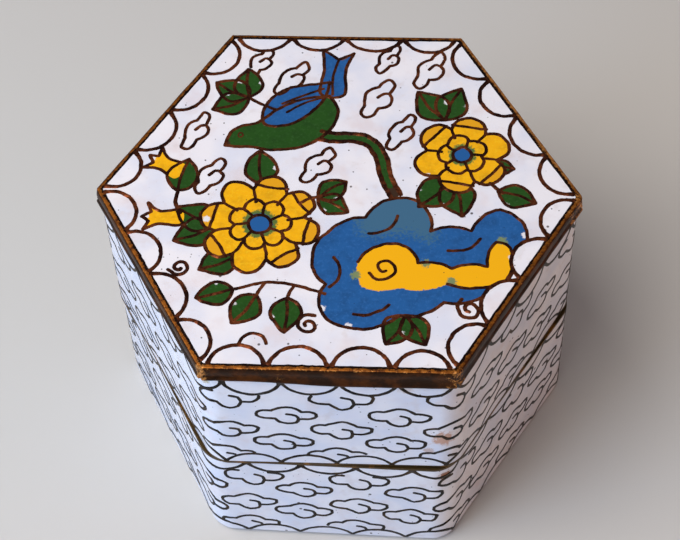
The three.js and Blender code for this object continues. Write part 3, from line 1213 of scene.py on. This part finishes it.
def leaf(drawing, base, lean, size, covers=()):
    """A pointed oval leaf with one rib. A little ground shows along its lower edge."""
    half = [(t, LEAF_SWELL * math.sin(math.pi * t ** 0.85)) for t in (0.15, 0.35, 0.55, 0.75, 0.9)]
    outline = [(0, 0), (0, 0), *half, (1, 0), (1, 0), *((x, -y) for x, y in reversed(half))]
    bare = put([(0.35 + 0.3 * math.sin(lean) ** 2, -0.34)], base, lean, size)[0]
    gaps = [(blob(*bare, 0.075 * size), 0.3)]
    cover = drawing.area("green", put(outline, base, lean, size), {"gap": gaps}, under=covers)
    drawing.wire(put([(0.06, 0), (0.5, 0.05), (0.94, 0)], base, lean, size), width=0.9, under=covers)
    return cover


SPRIGS = (
    # x, y, lean, leaves, degrees between them, length of a leaf
    (-13.7, 17.2, 150, 3, 55, 5.6), (-22.5, -0.2, 80, 1, 0, 6), (-10.8, 1.2, 95, 1, 0, 6.2),
    (-16.6, -6, 180, 2, 52, 6.4), (-13, -11, 205, 1, 0, 6), (-13.4, -16.7, 198, 1, 0, 5.2),
    (-10.2, -17.6, 238, 1, 0, 5.6), (-6, -17.8, 268, 1, 0, 5.8), (14.6, 13.6, 97, 2, 58, 6.4),
    (15.8, 2.8, 256, 2, 56, 6.8), (22.4, 0.9, -22, 1, 0, 5.4), (-2.8, -0.8, 2, 2, 66, 4.9),
    (10, -20.4, 270, 2, 56, 5.4), (21.4, 5.4, -12, 1, 0, 3.2),
)


def draw_leaves(drawing, flowers):
    """Green leaves, single or fanned out in sprigs, partly behind the flowers."""
    covers = []
    for x, y, lean, count, apart, size in SPRIGS:
        for k in range(count):
            covers.append(leaf(drawing, (x, y), lean + apart * (k - (count - 1) / 2), size, flowers))
    return covers


def spiral(centre, radius, turns, lean):
    """Points of a curl that winds in to its centre."""
    steps = round(8 * turns)
    ends = [on_ring(8, k, 1 - 0.8 * k / steps) for k in range(steps + 1)]
    return put(ends, centre, lean, radius)


def draw_stems(drawing):
    """Stems between the leaves, and curls beside the rock and the border."""
    drawing.wire([(-13.4, 17), (-11.8, 16), (-9.6, 15)])
    drawing.wire([(-22.5, -0.4), (-22.6, -2), (-21.8, -4)], width=1.15)
    drawing.wire([(-5, -1.8), (-4, -1.1), (-2.8, -0.8)])
    drawing.wire([(-13.2, -16.7), (-9, -15.5), (-5, -15.9), (-1, -17.2)])
    drawing.wire([(-9.2, -15.6), (-9.8, -16.6), (-10.2, -17.6)])
    drawing.wire([(-5.2, -15.9), (-5.7, -16.8), (-6, -17.8)])
    drawing.wire([(21.2, 2.2), (22.4, 1), (23, 0.5)], width=1.1)
    for centre, radius, lean in (((-3, -22.2), 1.7, 60), ((18.4, -19.2), 1.8, 120), ((-21, -13.2), 1.6, 200)):
        drawing.wire(spiral(centre, radius, 1.4, lean), width=1.1)
    drawing.wire(scallop((-12, -25.4), (-8.4, -25.4), 1.6))


def draw_buds(drawing, leaves):
    """Two yellow buds that open to a toothed end, their roots behind leaves."""
    upper = [(0, 0.26), (0.6, 0.22), (1, 0.45), (1, 0.45), (0.86, 0.15), (0.86, 0.15), (1.1, 0)]
    outline = upper + [(x, -y) for x, y in reversed(upper)]
    size = 5
    for root, lean in (((-22.4, 3.2), 148), ((-21.6, -4.8), 178)):
        mouth = put([(0.95, 0)], root, lean, size)[0]
        drawing.area("yellow", put(outline, root, lean, size), {"gap": [(blob(*mouth, 0.45), 0.3)]},
                     under=leaves)


def petal_ring(petals, valley, top):
    """Round petals in a ring, with a sharp corner between each two."""
    steps = (0, valley), (0, valley), (0.22, 0.93 * top), (0.5, top), (0.78, 0.93 * top)
    return [on_ring(petals, k + share, reach) for k in range(petals) for share, reach in steps]


def draw_flower(drawing, centre, size, petals, lean):
    """A flower seen from above: outer petals with some edges turned over, a ring of small inner
    petals, and a blue heart that has run green at its edge."""
    turned = []
    folds = []
    for k in range(petals):
        folds.append([on_ring(petals, k, reach) for reach in (VALLEY, 0.62, 0.46)])
        if k % 3 < 2:
            fold = [on_ring(petals, k + share, reach)
                    for share, reach in ((0.08, 0.84), (0.5, 0.77), (0.92, 0.84))]
            edge = [on_ring(petals, k + share, reach)
                    for share, reach in ((0.8, 0.92), (0.5, 0.98), (0.2, 0.92))]
            folds.append(fold)
            turned.append(put(fold + edge, centre, lean, size))
    for k in range(petals - 1):
        folds.append([on_ring(petals - 1, k + 0.3, reach) for reach in (0.4, 0.3, 0.2)])
    bare = put([on_ring(petals, 0.5, 0.9)], centre, lean + 140, size)[0]
    tints = {
        "ochre": [(line(edge, True), 0.15) for edge in turned],
        "green": [(blob(*centre, 0.3 * size), 0.6)],
        "blue": [(blob(*centre, 0.22 * size), 0.25)],
        "gap": [(blob(*bare, 0.07 * size), 0.25)],
    }
    outline = drawing.area("yellow", put(petal_ring(petals, VALLEY, 1), centre, lean, size), tints, 1.05)
    drawing.wire(put(petal_ring(petals - 1, 0.4, 0.52), centre, lean + 17, size), closed=True)
    drawing.wire(put([on_ring(8, k, 0.19) for k in range(8)], centre, lean, size), closed=True)
    for fold in folds:
        drawing.wire(put(fold, centre, lean, size), width=0.95)
    return outline


def draw_bird(drawing):
    """A plain long-tailed bird in profile: green body, blue wing and forked blue tail."""
    centre = (-7.9, 12)
    lean = 22
    size = 7.9
    body = [(-1.2, -0.04), (-1.2, -0.04), (-1, 0.2), (-0.75, 0.3), (-0.45, 0.26), (0, 0.42), (0.5, 0.5),
            (0.98, 0.4), (0.98, 0.4), (0.98, 0), (0.7, -0.38), (0.15, -0.56), (-0.4, -0.46),
            (-0.75, -0.24), (-1, -0.14)]
    wing = [(-0.36, 0.2), (-0.2, 0.58), (0.3, 0.84), (1.08, 0.7), (1.08, 0.7), (0.85, 0.36),
            (0.4, 0.1), (0, 0.02)]
    tail = [(0, 0.24), (0.6, 0.22), (1.1, 0.3), (1.1, 0.3), (0.88, 0), (0.88, 0), (1.06, -0.28),
            (1.06, -0.28), (0.6, -0.18), (0, -0.2)]
    beak = put([(-1.15, 0)], centre, lean, size)[0]
    outline = drawing.area("green", put(body, centre, lean, size), {"brown": [(blob(*beak, 0.6), 0.3)]})
    drawing.area("blue", put(wing, centre, lean, size), {})
    for rise in (0.34, 0.55):
        feather = [(0.1, rise - 0.04), (0.5, rise + 0.04), (0.94, rise + 0.06)]
        drawing.wire(put(feather, centre, lean, size), width=0.8)
    drawing.wire(put([on_ring(6, k, 0.05) for k in range(6)], put([(-0.85, 0.09)], centre, lean, size)[0],
                     0, size), closed=True, width=0.5)
    root = (-1.5, 18)
    steep = 86
    reach = 7.8
    drawing.area("blue", put(tail, root, steep, reach), {"brown": [(blob(-0.4, 25.4, 0.7), 0.5)]})
    drawing.wire(put([(0, 0), (0.45, 0.03), (0.86, 0)], root, steep, reach), width=0.8)
    return outline


def draw_branch(drawing):
    """The green branch from the bird down to the rock, an even band between two thick wires."""
    spine = line([(-4, 10.6), (-1, 10), (2, 10), (4.4, 9), (6, 6), (6.6, 3), (8.6, -1.6)], step=1.2)
    edges = ([], [])
    for before, spot, after in zip(spine, spine[1:], spine[2:]):
        run = (after - before).normalized()
        for edge, side in zip(edges, (BRANCH_HALF, -BRANCH_HALF)):
            edge.append(spot + side * Vector((-run.y, run.x)))
    drawing.area("green", edges[0] + edges[1][::-1], {"brown": [(blob(7.6, 0, 1.2), 0.5)]}, 0)
    for edge in edges:
        drawing.wire(edge, width=1.4)


def craggy(corners, bulge):
    """A closed outline, given clockwise, with sharp corners and a round bulge on every side."""
    rough = []
    for here, following in zip(corners, corners[1:] + corners[:1]):
        here = Vector(here)
        side = Vector(following) - here
        outward = Vector((-side.y, side.x)) * bulge
        rough += [here, here]
        rough += [here + side * share + outward * height for share, height in ((0.3, 0.9), (0.7, 1))]
    return rough


ROCK = [(4, -4.2), (8, -0.8), (11.6, -1.6), (13, -6.4), (18.6, -6.2), (22.6, -2.4), (26.2, -6), (24.4, -11),
        (21.4, -16.2), (15, -18.2), (9, -20.6), (2.4, -22.6), (-1.4, -20), (-1, -15.6), (-3, -11.6),
        (-1.2, -7)]
HOLLOW = [(3.2, -11.8), (6, -9), (9.6, -9), (11.4, -11.8), (16, -12.6), (20.8, -12.2), (22, -8),
          (24, -9), (23.4, -14.6), (15.4, -15.2), (9, -16), (4, -16)]


def draw_rock(drawing, border):
    """A pierced blue rock with a yellow hollow. It runs in behind the scallops of the border."""
    thin = [(3, 0), (13, 0), (13.5, -8), (9.5, -7), (3.5, -7)]
    hollow = line(craggy(HOLLOW, 0.1), True)
    tints = {
        "thin": [(line(thin, True), 2.6)],
        "yellow": [(hollow, 0.16)],
        "smear": [(blob(x, y, 0.7), 0.6) for x, y in ((12.5, -11.8), (16, -14.8), (22.8, -7.8), (3, -14))],
        "gap": [(arc, 0.1) for arc in border] + [
            (blob(x, y, 0.6), 0.3) for x, y in ((-1.4, -19.6), (26, -6.8), (24.2, -10.6), (2.4, -22.4))],
    }
    outline = drawing.area("blue", craggy(ROCK, 0.12), tints, under=border)
    bare_points = 10    # the hollow's lower left has no wire
    drawing.wire(craggy(HOLLOW, 0.1)[:-bare_points], width=0.95, under=border)
    drawing.wire(spiral((6.8, -12.8), 2.2, 1.3, 200), width=0.95)
    for start, sag, lean in (((4.6, -7), 0.9, 40), ((-0.4, -16), 1, 86), ((15.4, -9.6), 0.8, 24),
                             ((3, -20.4), 0.7, 20)):
        drawing.wire(put(scallop((5, 0), (0, 0), sag), start, lean), width=0.95, under=border)
    return outline


def draw_lid_clouds(drawing, covers, rng):
    """Clouds that drift between the leaves, leaning up to the right."""
    for x, y, lean, size in (
        (-7.6, 21, 54, 0.87), (-20.8, 10.8, 68, 0.84), (-18.1, 2.6, 62, 0.82), (-3, 4.8, 56, 0.84),
        (5.1, 17.3, 57, 0.95), (8.6, 11.1, 64, 0.82), (12.5, 22.9, 63, 0.92),
        (-12.4, 24, 62, 0.7), (6.4, 25, 60, 0.7),
    ):
        cloud(drawing, (x, y), math.radians(lean), (size, size * 0.95), under=covers, rng=rng)


ENAMELS = {
    "green": ("green_enamel", ("brown", "gap")),
    "blue": ("blue_enamel", ("thin", "yellow", "smear", "green", "brown", "gap")),
    "yellow": ("yellow_enamel", ("ochre", "green", "blue", "gap")),
}


def enamel_colours(colours):
    """The colour of each enamel and of the tints that run into it."""
    ground = tuple(c * 0.93 for c in colours.white)
    smear = linear("#7C8A5E")
    return {
        "green": (colours.green, {"brown": linear("#3A2412"), "gap": ground}),
        "blue": (colours.blue, {
            "thin": colours.grey_blue, "yellow": colours.yellow, "smear": smear,
            "green": colours.green, "brown": linear("#6A4228"), "gap": ground}),
        "yellow": (colours.yellow, {
            "ochre": colours.ochre, "green": linear("#5A7032"), "blue": colours.blue,
            "gap": ground}),
    }


class BOX_OT_picture(bpy.types.Operator):
    """Lays the enamels and wires of the lid's picture"""

    bl_idname = "enamel_box.picture"
    bl_label = "Lid picture"

    def execute(self, context):
        sizes = context.scene.enamel_box_sizes
        colours = context.scene.enamel_box_colours
        rng = random.Random(5)
        drawing = Drawing(sizes.wire / MM)
        border = lid_border(drawing, WALL_APOTHEM - sizes.strip_width / MM, rng)
        flowers = [draw_flower(drawing, (-10.6, -5.6), 8.4, 8, 12),
                   draw_flower(drawing, (17.3, 7.2), 6.8, 6, 50)]
        leaves = draw_leaves(drawing, flowers)
        draw_stems(drawing)
        draw_buds(drawing, leaves)
        draw_branch(drawing)
        bird = draw_bird(drawing)
        draw_rock(drawing, border)
        draw_lid_clouds(drawing, flowers + leaves + border + [bird], rng)
        lay = on_lid(sizes.lid_turn)
        palette = enamel_colours(colours)
        for level, (enamel, (slot, tint_names)) in enumerate(ENAMELS.items()):
            areas = [(outline, tints) for name, outline, tints in drawing.areas if name == enamel]
            mesh = areas_mesh(enamel + "_cells", areas, lay, 0.006 + 0.003 * level, tint_names)
            piece = placed(mesh)
            apply_modifier(piece, "SOLIDIFY", thickness=0.1 * MM, offset=-1)
            base, tints = palette[enamel]
            finished(piece, coloured_enamel(slot, base, tints))
        wires = placed(wires_mesh("lid_wires", drawing.wires, lay, sizes.proud / MM))
        # the lid's wire: the lighter copy, with painted highlight in its copper
        finished(wires, tarnished_wire("lid_wire_brass", colours.wire_brown, colours.wire_copper, 0.5))
        return {"FINISHED"}


# ---------------------------------------------------------------- stage

def camera_axes(azimuth, elevation, roll):
    """The camera's right, up and back directions."""
    back = Vector((
        math.sin(azimuth) * math.cos(elevation),
        -math.cos(azimuth) * math.cos(elevation),
        math.sin(elevation)))
    right = Vector((math.cos(azimuth), math.sin(azimuth), 0))
    turn = Matrix.Rotation(roll, 3, back)
    return turn @ right, turn @ back.cross(right), back


def add_camera(stage):
    right, up, back = camera_axes(stage.azimuth, stage.elevation, stage.roll)
    aim = Vector((0, 0, TOP * MM))
    place = aim + back * stage.distance + right * stage.slide_right - up * stage.slide_down
    bpy.ops.object.camera_add()
    camera = bpy.context.object
    camera.name = "camera"
    camera.data.sensor_width = 36
    camera.data.lens = stage.lens
    camera.data.clip_start = 0.01
    camera.matrix_world = Matrix.Translation(place) @ Matrix((right, up, back)).transposed().to_4x4()
    bpy.context.scene.camera = camera


def add_soft_light(name, place, aim, size, power, tint):
    bpy.ops.object.light_add(type="AREA", location=place)
    light = bpy.context.object
    light.name = name
    light.data.size = size
    light.data.energy = power
    light.data.color = linear(tint)
    light.rotation_euler = (Vector(aim) - light.location).to_track_quat("-Z", "Y").to_euler()


class BOX_OT_stage(bpy.types.Operator):
    """Adds the floor, the lights and the camera"""

    bl_idname = "enamel_box.stage"
    bl_label = "Stage"

    def execute(self, context):
        stage = context.scene.enamel_box_stage
        deselect_all()
        bpy.ops.mesh.primitive_plane_add(size=3)
        floor = context.object
        floor.name = "floor"
        material, _, shader, _ = new_material("floor")
        shader.inputs["Base Color"].default_value = rgba(stage.floor)
        shader.inputs["Roughness"].default_value = 0.8
        floor.data.materials.append(material)
        add_soft_light("key", (-0.2, -0.12, 0.45), (0, 0, 0.03), 0.35, stage.key, "#FFFBF8")
        add_soft_light("window", (-0.44, -0.34, 0.12), (0, 0, 0.02), 0.3, stage.window, "#8CC4FF")
        add_soft_light("fill", (0.45, -0.1, 0.1), (0, 0, 0.02), 0.3, stage.fill, "#FFA65C")
        world = bpy.data.worlds.new("studio")
        world.use_nodes = True
        background = world.node_tree.nodes["Background"]
        background.inputs["Color"].default_value = rgba(linear("#EEF2FF"))
        background.inputs["Strength"].default_value = stage.sky
        context.scene.world = world
        context.scene.view_settings.view_transform = "Standard"
        add_camera(stage)
        return {"FINISHED"}


# ---------------------------------------------------------------- add-on

class BOX_PT_panel(bpy.types.Panel):
    """Lists the steps and what can be changed"""

    bl_label = "Enamel Box"
    bl_idname = "BOX_PT_panel"
    bl_space_type = "VIEW_3D"
    bl_region_type = "UI"
    bl_category = "Enamel Box"

    def draw(self, context):
        for step in STEPS:
            self.layout.operator(step.bl_idname)
        for group in GROUPS:
            settings = getattr(context.scene, group)
            for name in settings.__annotations__:
                self.layout.prop(settings, name)


STEPS = (BOX_OT_stage, BOX_OT_shells, BOX_OT_brass, BOX_OT_wall_wires, BOX_OT_picture)
GROUPS = {
    "enamel_box_sizes": BOX_PG_sizes,
    "enamel_box_colours": BOX_PG_colours,
    "enamel_box_stage": BOX_PG_stage,
}


def register():
    for cls in (*GROUPS.values(), *STEPS, BOX_PT_panel):
        bpy.utils.register_class(cls)
    for name, group in GROUPS.items():
        setattr(bpy.types.Scene, name, PointerProperty(type=group))


def unregister():
    for name in GROUPS:
        delattr(bpy.types.Scene, name)
    for cls in (BOX_PT_panel, *STEPS, *GROUPS.values()):
        bpy.utils.unregister_class(cls)


def main():
    register()
    bpy.ops.enamel_box.stage()
    bpy.ops.enamel_box.shells()
    bpy.ops.enamel_box.brass()
    bpy.ops.enamel_box.wall_wires()
    bpy.ops.enamel_box.picture()


if __name__ == "__main__":
    main()
